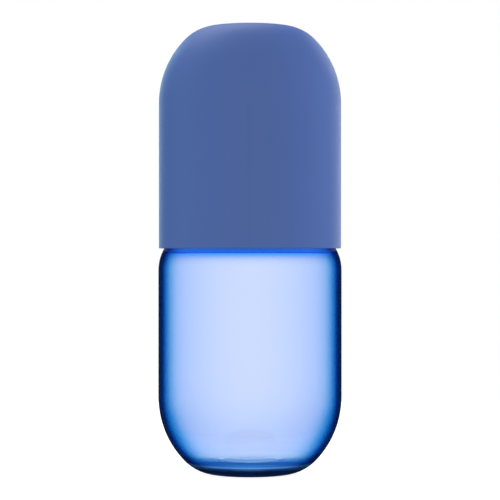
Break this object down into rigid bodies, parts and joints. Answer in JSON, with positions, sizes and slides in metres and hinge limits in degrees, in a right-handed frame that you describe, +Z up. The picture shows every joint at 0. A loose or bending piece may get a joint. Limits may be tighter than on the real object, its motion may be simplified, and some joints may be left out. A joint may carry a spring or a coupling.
{
  "type": "capsule bottle with cup",
  "caption": "Capsule-shaped glass bottle with a push-in stopper in its neck and an upside-down drinking cup that covers the neck and rests on the shoulder.",
  "frame": {"origin": "centre of the ring that the bottle stands on, at the height of the table", "axes": "+Z up along the axis of the bottle; the object is turned, so X and Y are equal, with -Y towards the viewer"},
  "size_m": [0.0852, 0.0852, 0.2084],
  "materials": {
    "blue_glass": "clear polished glass, tinted blue through its thickness",
    "cup_plastic": "matte soft-touch moulded plastic, slate blue",
    "plug_plastic": "satin moulded plastic, slate blue",
    "seal_silicone": "translucent pale silicone"
  },
  "bodies": {
    "bottle": {"glass_bottle": "blue_glass"},
    "cup": {"drinking_cup": "cup_plastic"},
    "stopper": {"stopper_plug": "plug_plastic", "stopper_seal": "seal_silicone", "stopper_knob": "cup_plastic"}
  },
  "joints": [
    {"name": "cup_lift", "type": "slide", "parent": "bottle", "child": "cup", "axis": [0, 0, 1], "range_m": [0, 0.11]},
    {"name": "stopper_pull", "type": "slide", "parent": "bottle", "child": "stopper", "axis": [0, 0, 1], "range_m": [0, 0.03]}
  ]
}
